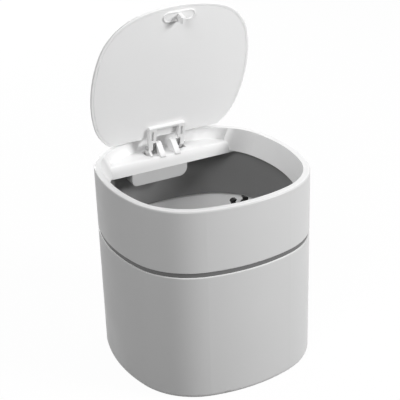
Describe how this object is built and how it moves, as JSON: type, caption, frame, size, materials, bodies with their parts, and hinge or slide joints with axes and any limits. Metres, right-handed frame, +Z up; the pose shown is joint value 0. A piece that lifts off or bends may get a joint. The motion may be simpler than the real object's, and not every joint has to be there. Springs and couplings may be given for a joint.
{
  "type": "desktop trash can",
  "caption": "Desktop trash can: rounded-square straight-walled pail, dark seam ring, white collar with a wide rim, and a flat lid that flips open on a sprung, damped hinge from a push latch.",
  "frame": {"origin": "middle of the base, on the surface that the can stands on", "axes": "+Z up, -Y to the front where the lid latches, +Y to the rear where it is hinged, +X to the right seen from the front"},
  "size_m": [0.16, 0.16, 0.2833],
  "materials": {
    "pail_white": "fine satin moulded grain",
    "ring_grey": "fine matt moulded grain",
    "collar_white": "fine satin moulded grain",
    "housing_white": "satin moulded",
    "screw_steel": "zinc plated",
    "pin_steel": "ground steel",
    "spring_steel": "dark drawn wire",
    "lid_white": "satin moulded",
    "liner_white": "satin moulded",
    "bracket_white": "satin moulded",
    "striker_white": "satin moulded",
    "gear_ivory": "natural acetal",
    "damper_black": "black moulded",
    "latch_black": "black moulded",
    "claw_black": "black moulded"
  },
  "bodies": {
    "pail": {"bin_body": "pail_white"},
    "ring": {"bag_ring": "ring_grey"},
    "upper": {"collar": "collar_white", "mechanism_housing": "housing_white", "housing_screws": "screw_steel", "hinge_pin": "pin_steel", "lid_spring_left": "spring_steel", "lid_spring_right": "spring_steel", "idler_axle": "pin_steel", "damper_barrel": "damper_black", "latch_case": "latch_black", "latch_spring": "spring_steel"},
    "lid": {"lid_cover": "lid_white", "lid_liner": "liner_white", "hinge_bracket": "bracket_white", "striker": "striker_white"},
    "idler": {"idler_gear": "gear_ivory"},
    "damper": {"damper_gear": "gear_ivory"},
    "plunger": {"latch_plunger": "latch_black", "claw_pins": "pin_steel"},
    "claw_left": {"latch_claw_left": "claw_black"},
    "claw_right": {"latch_claw_right": "claw_black"}
  },
  "joints": [
    {"name": "bag_ring_lift", "type": "slide", "parent": "pail", "child": "ring", "axis": [0, 0, 1], "range_m": [0, 0.03]},
    {"name": "collar_lift", "type": "slide", "parent": "ring", "child": "upper", "axis": [0, 0, 1], "range_m": [0, 0.06]},
    {"name": "lid_hinge", "type": "hinge", "parent": "upper", "child": "lid", "pos_m": [0, 0.0637, 0.1559], "axis": [1, 0, 0], "range_deg": [0, 72.1], "stiffness_Nm_per_rad": 0.014, "springref_deg": -91.67},
    {"name": "idler_spin", "type": "hinge", "parent": "upper", "child": "idler", "pos_m": [-0.0153, 0.06719, 0.14632], "axis": [1, 0, 0], "range_deg": [-173.1, 0]},
    {"name": "damper_spin", "type": "hinge", "parent": "upper", "child": "damper", "pos_m": [-0.0153, 0.06202, 0.14047], "axis": [1, 0, 0], "range_deg": [0, 108.2]},
    {"name": "latch_press", "type": "slide", "parent": "upper", "child": "plunger", "axis": [0, 0, 1], "range_m": [-0.0034, 0], "stiffness_N_per_m": 200, "springref_m": 0.002, "deforming": ["latch_spring"]},
    {"name": "claw_left_swing", "type": "hinge", "parent": "plunger", "child": "claw_left", "pos_m": [-0.0039, -0.0595, 0.151], "axis": [0, 1, 0], "range_deg": [0, 11]},
    {"name": "claw_right_swing", "type": "hinge", "parent": "plunger", "child": "claw_right", "pos_m": [0.0039, -0.0595, 0.151], "axis": [0, 1, 0], "range_deg": [-11, 0]}
  ],
  "couplings": [
    {"joint": "idler_spin", "follows": "lid_hinge", "ratio": -2.4},
    {"joint": "damper_spin", "follows": "lid_hinge", "ratio": 1.5},
    {"joint": "claw_left_swing", "follows": "latch_press", "rad_per_m": -56.4},
    {"joint": "claw_right_swing", "follows": "latch_press", "rad_per_m": 56.4}
  ]
}
